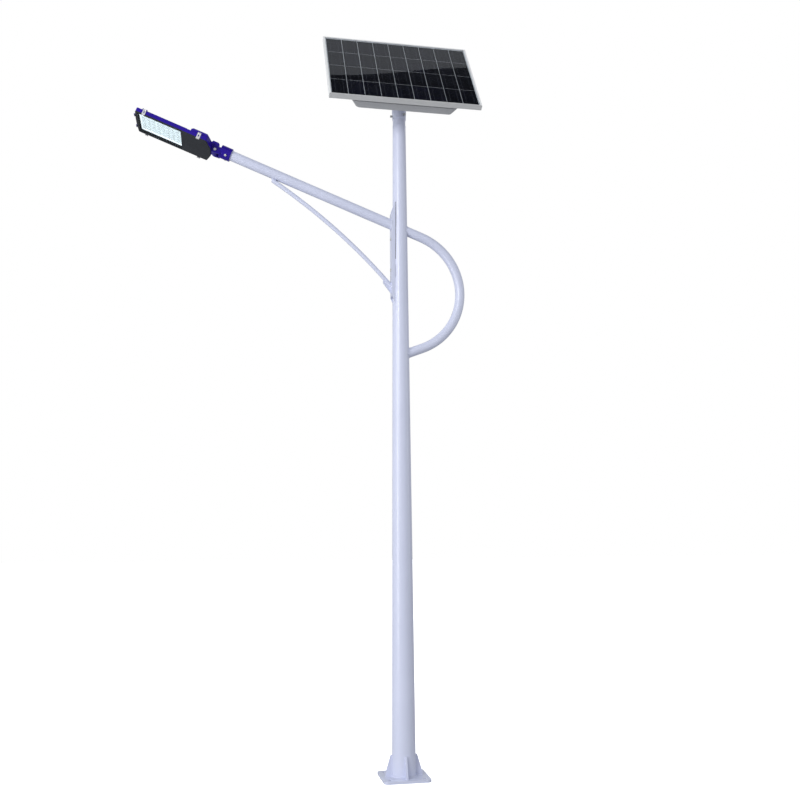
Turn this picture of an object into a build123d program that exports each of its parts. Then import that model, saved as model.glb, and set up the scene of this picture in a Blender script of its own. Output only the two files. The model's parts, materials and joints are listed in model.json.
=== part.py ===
from build123d import *
import os
from math import cos, radians, sin, tan

# Solar street lamp: a tapered steel pole on a base flange, a bolted side arm with a D-shaped loop and a
# bowed brace, an LED lamp head on a clamp knuckle, and a framed solar panel with its battery box on a
# swivelling and tilting pole-top head. Millimetres. Z is up, the origin is the centre of the flange's
# underside, the arm points along -X and the panel faces -Y.

# ---- mast
FLANGE_SIDE = 260
FLANGE_T = 14
FLANGE_CORNER = 25
FLANGE_HOLE_R = 9
FLANGE_HOLE_SPACING = 190
FLANGE_BORE_R = 40
GUSSET_T = 8
GUSSET_REACH = 38
GUSSET_H = 110
GUSSET_TOE = 12
GUSSET_TOP_REACH = 8

POLE_FOOT_R = 66
POLE_HEAD_R = 39
POLE_TOP_Z = 3775
POLE_WALL = 3.5
SPIGOT_R = 38
SPIGOT_TOP_Z = 3900
PLUG_FLANGE_T = 4

# ---- side arm, loop and brace
ARM_Z = 3131
ARM_RISE = 21
ARM_R = 30
ARM_WALL = 3
ARM_TIP_S = 1130
LOOP_R = 363
LOOP_TUBE_R = 28
WEB_X = -55
WEB_T = 5
CHANNEL_HALF = 31
CHANNEL_FLANGE_T = 5
CHANNEL_Z = (2658, 2706, 3218, 3285)
CHANNEL_NOSE_X = -34
BRACKET_BOLT_Z = (2870, 3060)
BRACKET_BOLT_R = 5
BRACKET_HEAD_R = 9.5
RIVET_NUT_R = 7.4
RIVET_NUT_END = -30
BRACE_R = 12.5
BRACE_WALL = 2
BRACE_HEAD = (-860, 3442)
BRACE_FOOT = (-40, 2754)
BRACE_END_X = -765
BRACE_LUG_Z = (2724, 2770)
BRACE_LUG_TIP = (-104, 2812)
BRACE_LUG_LIP = 24
BRACE_LUG_T = 6
BRACE_BOW = 43
CABLE_R = 4
CABLE_BEND = 40
CABLE_X = 20
CABLE_END_S = 1040

# ---- pole-top head
COLLAR_IN_R = 38.05
COLLAR_OUT_R = 43
COLLAR_Z = (3818, 3862, 3904.5)
COLLAR_LIP_R = 40.5
SET_BOLT_Z = 3838
SET_BOLT_ANGLES = (60, 180, 300)
YOKE_PLATE_T = 6
YOKE_EAR_X = (25, 31)
BRACKET_EAR_X = (31.5, 36.5)
PIVOT_Z = 3958
PIVOT_R = 5
LOCK_R = 4
LOCK_RADIUS = 30
LOCK_ANGLE = 5
TILT_DOWN = 42
TILT_UP = 13

# ---- solar panel
PANEL_TILT = 57
PANEL_Y = -70
PANEL_Z = 4108
PANEL_W = 910
PANEL_H = 670
FRAME_DEPTH = 30
FRAME_WALL = 2
FRAME_LIP = 10
FRAME_FLANGE = 24
GLASS_T = 3.2
CELL_COLUMNS = 9
CELL_ROWS = 4
CELL_GAP = 2.5
RAIL_X = 250
RAIL_W = 36
RAIL_BOLT_Y = PANEL_H / 2 - 14
JUNCTION_Y = 235
JUNCTION_H = 70
LEAD_X = (-30, 30)
LEAD_Z = (-12, -52)

# ---- battery box on the back of the panel
BOX_HALF_W = 324
BOX_Y = (-320, 130)
BOX_BACK_Z = -88
BOX_BACK_HALF_W = 290
BOX_WALL = 2.5
BOX_RIM_T = 11
RIM_PLATE_T = 3
RIM_BOLT_Y = (-285, 95)
BOX_SCREW_X = (90, 262)
BOX_SCREW_REACH = 200
BOX_GASKET_T = 3
OUTLET_Y = -190
BATTERY_R = 16
BATTERY_L = 70
BATTERY_X = -250
BATTERY_Y = 45
BATTERY_COLUMNS = 6
BATTERY_ROWS = 4
STRIP_T = 1.2
BOARD_X = (30, 100)
BOARD_Y = (-10, 90)
BOARD_PART_X = (45, 60, 75)
CONTROLLER_X = 180
CONTROLLER_SIZE = (150, 100, 28)
TERMINAL_X = 125
TERMINAL_PITCH = 22
TERMINALS = 6

# ---- lamp head, in arm coordinates: S along the arm, W across it towards -Y, U square to both
SLEEVE_S = (1073, 1137)
SLEEVE_IN_R = 30.05
SLEEVE_OUT_R = 38
CLAMP_BOLT_S = 1100
CLAMP_BOLT_TURN = 126
KNUCKLE_S = 1166
KNUCKLE_U = -18
KNUCKLE_LOBE_R = 17
EAR_W = (24.5, 32.5)
TONGUE_HALF_W = 24
TONGUE_TOP_U = 33
SHELL_REAR_S = 1187
SHELL_CORNER_S = 1212
SHELL_TIP_S = 1640
SHELL_TIP_BOW = 5
SHELL_HALF_W = 132
SHELL_WALL = 3
SHELL_RIM_U = -30.5
DECK_U = -8
HUMP_TOP_U = 15
HUMP_END_S = 1318
HUMP_BEVEL = 9
FIN_TOP_U = -1
FIN_PITCH = 19
FINS_PER_SIDE = 6
COVER_U = (-36, -32.5)
WINDOW_S = (1365, 1624)
WINDOW_HALF_W = 118
HINGE_S = 1644
HINGE_U = -32
PIN_W = SHELL_HALF_W + 3.6
PIN_R = 1.5
HINGE_W = (-70, 70)
LED_ROWS = 6
LED_COLUMNS = 8
LED_PITCH = (29, 33)
LATCH_S = (1262, 1587)
LATCH_TOP_U = (-5, -7)
LATCH_W = (20, 18)
LATCH_SLOT_W = 6
LATCH_SLOT_U = (-26, -15)
LATCH_FOOT_U = -40

os.makedirs("parts", exist_ok=True)

rise = radians(ARM_RISE)
tilt = radians(PANEL_TILT)
ARM = Plane(origin=(0, 0, ARM_Z), x_dir=(-cos(rise), 0, sin(rise)), z_dir=(sin(rise), 0, cos(rise)))
PANEL = Plane(origin=(0, PANEL_Y, PANEL_Z), x_dir=(1, 0, 0), z_dir=(0, -sin(tilt), cos(tilt)))
SIDE = Plane(origin=(0, 0, 0), x_dir=(1, 0, 0), z_dir=(0, -1, 0))
PIVOT = Plane(origin=(0, 0, PIVOT_Z), x_dir=(0, 1, 0), z_dir=(1, 0, 0))


def save(node, *items):
    """Writes one node's separate solids to its own STEP file."""
    solids = [solid for item in items for solid in item.solids()]
    export_step(solids[0] if len(solids) == 1 else Compound(solids), f"parts/{node}.step")


def block(x, y, z):
    """A box from its three (low, high) ranges."""
    centre = Pos((x[0] + x[1]) / 2, (y[0] + y[1]) / 2, (z[0] + z[1]) / 2)
    return centre * Box(x[1] - x[0], y[1] - y[0], z[1] - z[0])


def rod_x(r, x, y=0, z=0):
    return Pos((x[0] + x[1]) / 2, y, z) * Rot(0, 90, 0) * Cylinder(r, x[1] - x[0])


def rod_y(r, y, x=0, z=0):
    return Pos(x, (y[0] + y[1]) / 2, z) * Rot(90, 0, 0) * Cylinder(r, y[1] - y[0])


def rod_z(r, z, x=0, y=0):
    return Pos(x, y, (z[0] + z[1]) / 2) * Cylinder(r, z[1] - z[0])


def tube_z(r_out, r_in, z, x=0, y=0):
    return rod_z(r_out, z, x, y) - rod_z(r_in, (z[0] - 1, z[1] + 1), x, y)


def hexagon(across, z):
    """A hexagon head or nut along Z, with its corners turned off as on a real one."""
    head = Pos(0, 0, z[0]) * extrude(RegularPolygon(across / 2, 6, major_radius=False), z[1] - z[0])
    return head & rod_z(across * 0.56, z)


def cone(shrink):
    """The pole's solid cone, smaller all round by shrink."""
    foot, head = POLE_FOOT_R - shrink, POLE_HEAD_R - shrink
    corners = [(0, FLANGE_T), (foot, FLANGE_T), (head, POLE_TOP_Z), (0, POLE_TOP_Z)]
    return revolve(SIDE * make_face(Polyline(*corners, close=True)), Axis.Z)


pole_solid = cone(0)
arm_solid = ARM * rod_x(ARM_R, (20, ARM_TIP_S))
web_z = ARM_Z - WEB_X * tan(rise)


# ---------------------------------------------------------------- mast
def base_flange():
    plate = extrude(RectangleRounded(FLANGE_SIDE, FLANGE_SIDE, FLANGE_CORNER), FLANGE_T)
    plate -= rod_z(FLANGE_BORE_R, (-1, FLANGE_T + 1))
    reach = FLANGE_HOLE_SPACING / 2
    for x, y in ((1, 1), (1, -1), (-1, 1), (-1, -1)):
        plate -= rod_z(FLANGE_HOLE_R, (-1, FLANGE_T + 1), x * reach, y * reach)
    save("base_flange", plate)


def flange_gussets():
    foot, top = POLE_FOOT_R - 6, FLANGE_T + GUSSET_H
    outer = POLE_FOOT_R + GUSSET_REACH
    points = [(foot, FLANGE_T), (outer, FLANGE_T), (outer, FLANGE_T + GUSSET_TOE),
              (POLE_FOOT_R + GUSSET_TOP_REACH, top), (foot, top)]
    plate = extrude(SIDE * make_face(Polyline(*points, close=True)), GUSSET_T / 2, both=True)
    plates = [Rot(0, 0, 90 * turn) * (plate - pole_solid) for turn in range(4)]
    save("flange_gussets", *plates)


def pole_shaft():
    pole = pole_solid - cone(POLE_WALL)
    pole -= ARM * rod_x(14, (20, 60))
    for z in BRACKET_BOLT_Z:
        pole -= rod_x(RIVET_NUT_R + 0.1, (-80, 0), 0, z)
    save("pole_shaft", pole)


def top_spigot():
    tube = tube_z(SPIGOT_R, SPIGOT_R - POLE_WALL, (POLE_TOP_Z, SPIGOT_TOP_Z))
    plug = rod_z(SPIGOT_R - POLE_WALL, (SPIGOT_TOP_Z - 14, SPIGOT_TOP_Z))
    plug += rod_z(SPIGOT_R - 1, (SPIGOT_TOP_Z, SPIGOT_TOP_Z + PLUG_FLANGE_T))
    plug -= rod_z(8, (SPIGOT_TOP_Z - 20, SPIGOT_TOP_Z + 10), CABLE_X)
    save("top_spigot", tube)
    save("spigot_plug", plug)


def arm_bracket():
    low, low_shoulder, high_shoulder, high = CHANNEL_Z
    outline = [(WEB_X, low_shoulder), (WEB_X, high_shoulder), (CHANNEL_NOSE_X, high), (-20, high), (-20, low),
               (CHANNEL_NOSE_X, low)]
    cheeks = extrude(SIDE * make_face(Polyline(*outline, close=True)), CHANNEL_HALF, both=True)
    inner = CHANNEL_HALF - CHANNEL_FLANGE_T
    cheeks -= block((WEB_X - 1, 0), (-inner, inner), (low - 1, high + 1))
    web = block((WEB_X, WEB_X + WEB_T), (-inner, inner), (low_shoulder, high_shoulder))
    channel = cheeks + web
    tip_x, tip_z = BRACE_LUG_TIP
    lug_points = [(WEB_X, z) for z in BRACE_LUG_Z] + [(tip_x, tip_z), (tip_x, tip_z - BRACE_LUG_LIP)]
    channel += extrude(SIDE * make_face(Polyline(*lug_points, close=True)), BRACE_LUG_T / 2, both=True)
    channel -= pole_solid
    channel -= rod_x(9, (WEB_X - 1, WEB_X + WEB_T + 1), 0, web_z)
    for z in BRACKET_BOLT_Z:
        channel -= rod_x(BRACKET_BOLT_R + 0.3, (WEB_X - 1, WEB_X + WEB_T + 1), 0, z)
    channel -= brace_solid
    save("arm_bracket", channel)


def bracket_bolt_sets():
    """Two button-head bolts through the web, each into a rivet nut set in the pole's wall."""
    bolts = []
    for z in BRACKET_BOLT_Z:
        head = rod_x(BRACKET_HEAD_R, (WEB_X - 4.5, WEB_X), 0, z)
        head = fillet(head.edges().group_by(Axis.X)[0], 2.5)
        head -= Pos(WEB_X - 5, 0, z) * Rot(0, 90, 0) * hexagon(6, (0, 3))
        bolts.append(head + rod_x(BRACKET_BOLT_R, (WEB_X, RIVET_NUT_END), 0, z))
        flared = rod_x(BRACKET_HEAD_R, (-38, RIVET_NUT_END), 0, z) & cone(POLE_WALL + 0.1)
        nut = rod_x(RIVET_NUT_R, (-46, RIVET_NUT_END), 0, z) + flared
        bolts.append(nut - rod_x(BRACKET_BOLT_R + 0.02, (-60, -20), 0, z))
    save("bracket_bolt_sets", *bolts)


def arm_tube():
    tube = arm_solid - ARM * rod_x(ARM_R - ARM_WALL, (0, ARM_TIP_S + 1))
    save("arm_tube", tube - block((WEB_X, 100), (-50, 50), (ARM_Z - 100, ARM_Z + 200)))


def loop_tube():
    centre_z = ARM_Z - LOOP_R / cos(rise)
    corner_x, corner_dz = LOOP_R * sin(rise), LOOP_R * cos(rise)
    start_x = 20
    straight_dz = (corner_x - start_x) * tan(rise)
    top = [Vector(start_x, 0, centre_z + corner_dz + straight_dz), Vector(corner_x, 0, centre_z + corner_dz)]
    foot_z = centre_z - corner_dz
    bottom = [Vector(corner_x, 0, foot_z), Vector(start_x, 0, foot_z - straight_dz)]
    path = Line(*top) + ThreePointArc(top[1], Vector(LOOP_R, 0, centre_z), bottom[0]) + Line(*bottom)
    ring = Circle(LOOP_TUBE_R) - Circle(LOOP_TUBE_R - ARM_WALL)
    tube = sweep(Plane(origin=top[0], z_dir=top[1] - top[0]) * ring, path) - pole_solid
    outside = [solid for solid in tube.solids() if solid.bounding_box().max.X > LOOP_R]
    save("loop_tube", *outside)


def brace(r):
    """The brace's round bar or its bore: one long arc that bows towards the arm."""
    head, foot = Vector(BRACE_HEAD[0], 0, BRACE_HEAD[1]), Vector(BRACE_FOOT[0], 0, BRACE_FOOT[1])
    chord = (head - foot).normalized()
    middle = (head + foot) * 0.5 + Vector(chord.Z, 0, -chord.X) * BRACE_BOW
    path = Edge.make_three_point_arc(foot, middle, head)
    return sweep(Plane(origin=foot, z_dir=path % 0) * Circle(r), path)


brace_solid = brace(BRACE_R)


def brace_rod():
    rod = brace_solid - brace(BRACE_R - BRACE_WALL) - arm_solid
    rod -= block((WEB_X, 0), (-50, 50), (2600, 2900))
    rod -= block((BRACE_END_X - 200, BRACE_END_X), (-50, 50), (3200, 3600))
    outside = max(rod.solids(), key=lambda solid: solid.volume)
    save("brace_rod", outside)


def cable_route():
    """The lamp lead's line: down inside the pole, round, out through the web and along the arm."""
    centre_x = CABLE_X - CABLE_BEND
    turn = radians(90 + ARM_RISE)
    end_x = centre_x + CABLE_BEND * cos(turn)
    end_z = ARM_Z - end_x * tan(rise)
    centre_z = end_z + CABLE_BEND * sin(turn)
    middle = (centre_x + CABLE_BEND * cos(turn / 2), 0, centre_z - CABLE_BEND * sin(turn / 2))
    start, corner, end = (CABLE_X, 0, SPIGOT_TOP_Z - 16), (CABLE_X, 0, centre_z), (end_x, 0, end_z)
    far = (-CABLE_END_S * cos(rise), 0, ARM_Z + CABLE_END_S * sin(rise))
    return Line(start, corner) + ThreePointArc(corner, middle, end) + Line(end, far)


def lamp_cable():
    start = Plane(origin=(CABLE_X, 0, SPIGOT_TOP_Z - 16), z_dir=(0, 0, -1))
    save("lamp_cable", sweep(start * Circle(CABLE_R), cable_route()))
    web_end = WEB_X + WEB_T
    grommet = rod_x(9, (WEB_X, web_end), 0, web_z) + rod_x(12, (web_end, web_end + 2.5), 0, web_z)
    save("cable_grommet", grommet - ARM * rod_x(CABLE_R + 0.2, (30, 120)))
    inline = rod_x(9, (CABLE_END_S, CABLE_END_S + 56)) + rod_x(11, (CABLE_END_S + 22, CABLE_END_S + 34))
    inline = ARM * inline
    socket = rod_z(8, (SPIGOT_TOP_Z - 16, SPIGOT_TOP_Z + PLUG_FLANGE_T), CABLE_X)
    socket -= rod_z(5, (SPIGOT_TOP_Z - 6, SPIGOT_TOP_Z + 10), CABLE_X)
    save("cable_connectors", inline, socket)


# ---------------------------------------------------------------- pole-top collar and yoke
def collar():
    low, taper, top = COLLAR_Z
    profile = [(COLLAR_IN_R, low), (COLLAR_LIP_R, low), (COLLAR_OUT_R, taper), (COLLAR_OUT_R, top),
               (COLLAR_IN_R, top)]
    sleeve = revolve(SIDE * make_face(Polyline(*profile, close=True)), Axis.Z)
    core = sleeve + rod_z(COLLAR_IN_R, (low, top))
    nut_end = COLLAR_OUT_R + 5
    bolt_sets = []
    for angle in SET_BOLT_ANGLES:
        place = Rot(0, 0, angle) * Pos(0, 0, SET_BOLT_Z) * Rot(0, 90, 0)
        sleeve -= place * rod_z(4.1, (30, 60))
        nut = place * (hexagon(13, (COLLAR_IN_R - 2, nut_end)) - rod_z(4.05, (30, 60)))
        bolt = rod_z(4, (SPIGOT_R + 0.3, nut_end + 1)) + hexagon(13, (nut_end + 1, nut_end + 6.5))
        bolt_sets += [nut - core, place * bolt]
    save("collar_sleeve", sleeve)
    save("collar_bolt_sets", *bolt_sets)


def arc_slot():
    """The curved slot that the lock bolt runs in, round the pivot."""
    travel = CenterArc((0, 0), LOCK_RADIUS, LOCK_ANGLE - TILT_DOWN - 1.5, TILT_DOWN + TILT_UP + 3)
    return SlotArc(travel, 2 * LOCK_R + 0.6)


def tilt_yoke():
    plate_z = (COLLAR_Z[2], COLLAR_Z[2] + YOKE_PLATE_T)
    yoke = tube_z(COLLAR_OUT_R, 24, plate_z)
    drop = PIVOT_Z - plate_z[0]
    top = 27
    ear = Pos(9, (top - drop) / 2) * Rectangle(66, top + drop)
    ear = fillet(ear.vertices().group_by(Axis.Y)[-1], 12)
    ear -= arc_slot() + Circle(PIVOT_R + 0.05)
    low, high = YOKE_EAR_X
    for start in (low, -high):
        yoke += PIVOT * Pos(0, 0, start) * extrude(ear, high - low)
    save("tilt_yoke", yoke)


def bolt_set(r, across, grip, end):
    """A hexagon bolt along local Z with its nut: grip is the plates' outer faces, end the bolt's tip."""
    head_t = 0.46 * across
    bolt = rod_z(r, (grip[0], end)) + hexagon(across, (grip[0] - head_t, grip[0]))
    nut = hexagon(across, (grip[1], grip[1] + head_t)) - rod_z(r + 0.02, (grip[1] - 1, end + 1))
    return bolt, nut


def tilt_hardware():
    pivot = bolt_set(PIVOT_R, 17, (-BRACKET_EAR_X[1] - 0.5, BRACKET_EAR_X[1] + 0.5), 50)
    save("pivot_bolt_set", *[PIVOT * piece for piece in pivot])
    at_lock = Rot(0, 0, LOCK_ANGLE) * Pos(LOCK_RADIUS, 0, 0)
    lock = bolt_set(LOCK_R, 13, (-BRACKET_EAR_X[1], BRACKET_EAR_X[1]), 48)
    save("lock_bolt_set", *[PIVOT * at_lock * piece for piece in lock])


def box_bracket():
    """The clevis on the back of the battery box. Its ears straddle the yoke's."""
    pivot_y = (0 - PANEL_Y) * cos(tilt) + (PIVOT_Z - PANEL_Z) * sin(tilt)
    pivot_z = -(0 - PANEL_Y) * sin(tilt) + (PIVOT_Z - PANEL_Z) * cos(tilt)
    lock_turn = radians(LOCK_ANGLE - PANEL_TILT)
    lock_y = pivot_y + LOCK_RADIUS * cos(lock_turn)
    lock_z = pivot_z + LOCK_RADIUS * sin(lock_turn)
    base = block((-60, 60), (pivot_y - 65, pivot_y + 65), (BOX_BACK_Z - 5, BOX_BACK_Z))
    outline = Pos(pivot_y, pivot_z) * Circle(15) + Pos(lock_y, lock_z) * Circle(11)
    outline += Pos(pivot_y, BOX_BACK_Z - 4) * Rectangle(90, 2)
    ear = make_hull(outline.edges())
    ear -= Pos(pivot_y, pivot_z) * Circle(PIVOT_R + 0.05) + Pos(lock_y, lock_z) * Circle(LOCK_R + 0.05)
    across = Plane(origin=(0, 0, 0), x_dir=(0, 1, 0), z_dir=(1, 0, 0))
    low, high = BRACKET_EAR_X
    for start in (low, -high):
        base += across * Pos(0, 0, start) * extrude(ear, high - low)
    inside = BOX_BACK_Z + BOX_WALL
    backing = block((-62, 62), (pivot_y - 67, pivot_y + 67), (inside, inside + 4))
    holes = [(x, pivot_y + reach) for x in (-50, 50) for reach in (-52, 52)]
    screws = []
    for x, y in holes:
        base -= rod_z(3.3, (BOX_BACK_Z - 6, BOX_BACK_Z + 1), x, y)
        backing -= rod_z(3.3, (BOX_BACK_Z, inside + 5), x, y)
        screw = rod_z(3.2, (BOX_BACK_Z - 5, BOX_BACK_Z + 12), x, y)
        screws.append(PANEL * (screw + Pos(x, y, 0) * hexagon(10, (BOX_BACK_Z - 9.5, BOX_BACK_Z - 5))))
    save("box_bracket", PANEL * base)
    save("bracket_screws", *screws)
    save("backing_plate", PANEL * backing)
    return holes


# ---------------------------------------------------------------- solar panel
def frame_rails():
    """Four mitred lengths of one extrusion: outer wall, front lip, glass shelf and back flange."""
    w, lip = FRAME_WALL, FRAME_LIP
    shelf = -(1.6 + 5.2)
    profile = Pos(w / 2, -FRAME_DEPTH / 2) * Rectangle(w, FRAME_DEPTH)
    profile += Pos(lip / 2, -0.8) * Rectangle(lip, 1.6)
    profile += Pos(lip / 2, shelf - w / 2) * Rectangle(lip, w)
    profile += Pos(FRAME_FLANGE / 2, -FRAME_DEPTH + w / 2) * Rectangle(FRAME_FLANGE, w)
    for node, turn, length, offset in (
        ("frame_bottom", 0, PANEL_W, PANEL_H / 2),
        ("frame_right", 90, PANEL_H, PANEL_W / 2),
        ("frame_top", 180, PANEL_W, PANEL_H / 2),
        ("frame_left", 270, PANEL_H, PANEL_W / 2),
    ):
        section = Plane(origin=(-length / 2, -offset, 0), x_dir=(0, 1, 0), z_dir=(1, 0, 0)) * profile
        rail = extrude(section, length)
        corners = [(-length / 2, -offset), (length / 2, -offset), (length / 2 - 40, -offset + 40),
                   (-length / 2 + 40, -offset + 40)]
        mitre_face = make_face(Polyline(*corners, close=True))
        rail = rail & extrude(Pos(0, 0, -FRAME_DEPTH - 1) * mitre_face, FRAME_DEPTH + 2)
        if length == PANEL_W:
            for x in (-RAIL_X, RAIL_X):
                rail -= rod_z(3.2, (-FRAME_DEPTH - 1, -FRAME_DEPTH + w + 1), x, -RAIL_BOLT_Y)
        save(node, PANEL * Rot(0, 0, turn) * rail)


def corner_keys():
    keys = []
    for sx in (1, -1):
        for sy in (1, -1):
            x, y = PANEL_W / 2 - FRAME_WALL, PANEL_H / 2 - FRAME_WALL
            leg_x = block(sorted((sx * (x - 32), sx * x)), sorted((sy * (y - 3), sy * y)), (-22, -10))
            leg_y = block(sorted((sx * (x - 3), sx * x)), sorted((sy * (y - 32), sy * y)), (-22, -10))
            keys.append(PANEL * (leg_x + leg_y))
    save("corner_keys", *keys)


def laminate():
    half_w, half_h = PANEL_W / 2 - FRAME_WALL, PANEL_H / 2 - FRAME_WALL
    glass_z = (-1.6 - GLASS_T, -1.6)
    save("solar_glass", PANEL * block((-half_w, half_w), (-half_h, half_h), glass_z))
    inner_w, inner_h = PANEL_W - 2 * FRAME_LIP - 10, PANEL_H - 2 * FRAME_LIP - 10
    pitch_x, pitch_y = inner_w / CELL_COLUMNS, inner_h / CELL_ROWS
    cells = []
    for column in range(CELL_COLUMNS):
        for row in range(CELL_ROWS):
            x = (column - (CELL_COLUMNS - 1) / 2) * pitch_x
            y = (row - (CELL_ROWS - 1) / 2) * pitch_y
            cell = Pos(x, y, glass_z[0] - 0.35) * Box(pitch_x - CELL_GAP, pitch_y - CELL_GAP, 0.7)
            cells.append(PANEL * cell)
    save("solar_cells", *cells)
    save("backsheet", PANEL * block((-half_w, half_w), (-half_h, half_h), (-6.8, glass_z[0] - 0.7)))


def cross_rails():
    half_h = PANEL_H / 2 - FRAME_WALL
    rails, bolts = [], []
    for x in (-RAIL_X, RAIL_X):
        span = (x - RAIL_W / 2, x + RAIL_W / 2)
        rail = block(span, (-half_h, half_h), (-FRAME_DEPTH, -FRAME_DEPTH + 14))
        inside = (span[0] + 2, span[1] - 2)
        rail -= block(inside, (-half_h - 1, half_h + 1), (-FRAME_DEPTH + 2, -FRAME_DEPTH + 15))
        for end in (-1, 1):
            notch = sorted((end * (half_h + 1), end * (PANEL_H / 2 - FRAME_FLANGE)))
            rail -= block((span[0] - 1, span[1] + 1), notch, (-FRAME_DEPTH - 1, -FRAME_DEPTH + 2))
            foot = sorted((end * half_h, end * (PANEL_H / 2 - FRAME_FLANGE - 8)))
            rail += block(span, foot, (-FRAME_DEPTH + 2, -FRAME_DEPTH + 4))
            y = end * RAIL_BOLT_Y
            rail -= rod_z(3.2, (-FRAME_DEPTH, -FRAME_DEPTH + 5), x, y)
            bolt_z = (-FRAME_DEPTH + 4, -FRAME_DEPTH + 8)
            bolt = Pos(x, y, 0) * hexagon(10, bolt_z) + rod_z(3, (-FRAME_DEPTH, bolt_z[0]), x, y)
            bolts.append(PANEL * bolt)
        for y in RIM_BOLT_Y:
            rail -= rod_z(3.2, (-FRAME_DEPTH - 1, -FRAME_DEPTH + 3), x, y)
            under = -FRAME_DEPTH - RIM_PLATE_T
            bolt = Pos(x, y, 0) * hexagon(10, (under - 4, under)) + rod_z(3, (under, -FRAME_DEPTH + 8), x, y)
            nut_z = (-FRAME_DEPTH + 2, -FRAME_DEPTH + 7)
            nut = Pos(x, y, 0) * hexagon(10, nut_z) - rod_z(3.02, (nut_z[0] - 1, nut_z[1] + 2), x, y)
            bolts += [PANEL * bolt, PANEL * nut]
        rails.append(PANEL * rail)
    save("cross_rails", *rails)
    save("rail_bolts", *bolts)


def junction_box():
    body = Pos(0, JUNCTION_Y, -17) * extrude(RectangleRounded(120, JUNCTION_H, 6), 10.2)
    lid = Pos(0, JUNCTION_Y, -20) * extrude(RectangleRounded(112, JUNCTION_H - 8, 5), 3)
    save("junction_box", PANEL * body, PANEL * lid)
    leads, glands = [], []
    exit_y = JUNCTION_Y - JUNCTION_H / 2 - 0.5
    for x in LEAD_X:
        points = [(x, exit_y, LEAD_Z[0]), (x, 176, LEAD_Z[0]), (x, 152, LEAD_Z[1]), (x, 139, LEAD_Z[1])]
        path = FilletPolyline(*points, radius=[22, 20])
        start = Plane(origin=points[0], z_dir=(0, -1, 0))
        leads.append(PANEL * sweep(start * Circle(3), path))
        glands.append(PANEL * rod_y(7.5, (BOX_Y[1], 139), x, LEAD_Z[1]))
    save("pv_leads", *leads)
    outlet = rod_z(11, (BOX_BACK_Z - 5, BOX_BACK_Z)) + rod_z(8, (BOX_BACK_Z - 20, BOX_BACK_Z - 5))
    outlet += hexagon(20, (BOX_BACK_Z - 12, BOX_BACK_Z - 5))
    outlet -= rod_z(3.5, (BOX_BACK_Z - 21, BOX_BACK_Z + 1))
    save("cable_glands", *glands, PANEL * Pos(0, OUTLET_Y, 0) * outlet)


# ---------------------------------------------------------------- battery box
def box_outline(half_w, inset):
    """The box's plan with its big corner rounds, pulled in by inset."""
    height = BOX_Y[1] - BOX_Y[0] - 2 * inset
    return Pos(0, (BOX_Y[0] + BOX_Y[1]) / 2) * RectangleRounded(2 * half_w, height, 28)


def battery_box(bracket_holes):
    rim_z = (-FRAME_DEPTH - BOX_RIM_T, -FRAME_DEPTH)
    gasket_z = (rim_z[0] - BOX_GASKET_T, rim_z[0])
    rim = Pos(0, 0, rim_z[0]) * extrude(box_outline(BOX_HALF_W, 0), BOX_RIM_T)
    rim -= Pos(0, 0, rim_z[0] - 1) * extrude(box_outline(BOX_HALF_W - 20, 20), BOX_RIM_T - RIM_PLATE_T + 1)
    for x in (-RAIL_X, RAIL_X):
        for y in RIM_BOLT_Y:
            rim -= rod_z(3.2, (rim_z[1] - RIM_PLATE_T - 1, rim_z[1] + 1), x, y)
    gasket = Pos(0, 0, gasket_z[0]) * extrude(box_outline(BOX_HALF_W - 4, 4), BOX_GASKET_T)
    gasket -= Pos(0, 0, gasket_z[0] - 1) * extrude(box_outline(BOX_HALF_W - 20, 20), BOX_GASKET_T + 2)
    tub_front = Pos(0, 0, gasket_z[0]) * box_outline(BOX_HALF_W - 2, 0)
    tub_back = Pos(0, 0, BOX_BACK_Z) * box_outline(BOX_BACK_HALF_W, 3)
    tub = loft([tub_back, tub_front])
    tub = fillet(tub.edges().group_by(Axis.Z)[0], 5)
    hollow_front = Pos(0, 0, gasket_z[0] + 1) * box_outline(BOX_HALF_W - 2 - 12, 12)
    hollow_back = Pos(0, 0, BOX_BACK_Z + BOX_WALL) * box_outline(BOX_BACK_HALF_W - 8, 10)
    tub -= loft([hollow_back, hollow_front])
    for x, y in bracket_holes:
        tub -= rod_z(3.3, (BOX_BACK_Z - 1, BOX_BACK_Z + BOX_WALL + 1), x, y)
    screws = []
    middle_y = (BOX_Y[0] + BOX_Y[1]) / 2
    for x in (-BOX_SCREW_X[1], -BOX_SCREW_X[0], *BOX_SCREW_X):
        for y in (middle_y - BOX_SCREW_REACH, middle_y + BOX_SCREW_REACH):
            tub += rod_z(6, (BOX_BACK_Z + 1, gasket_z[0]), x, y)
            tub -= rod_z(2.6, (BOX_BACK_Z - 1, gasket_z[0] + 1), x, y)
            rim -= rod_z(2.6, (rim_z[1] - RIM_PLATE_T - 1, rim_z[1] + 1), x, y)
            screw = rod_z(2.5, (BOX_BACK_Z, rim_z[1]), x, y)
            screw += rod_z(4.5, (BOX_BACK_Z - 3.5, BOX_BACK_Z), x, y)
            screws.append(PANEL * screw)
    save("box_rim", PANEL * rim)
    save("box_gasket", PANEL * gasket)
    save("box_tub", PANEL * tub)
    save("box_screws", *screws)


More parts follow.
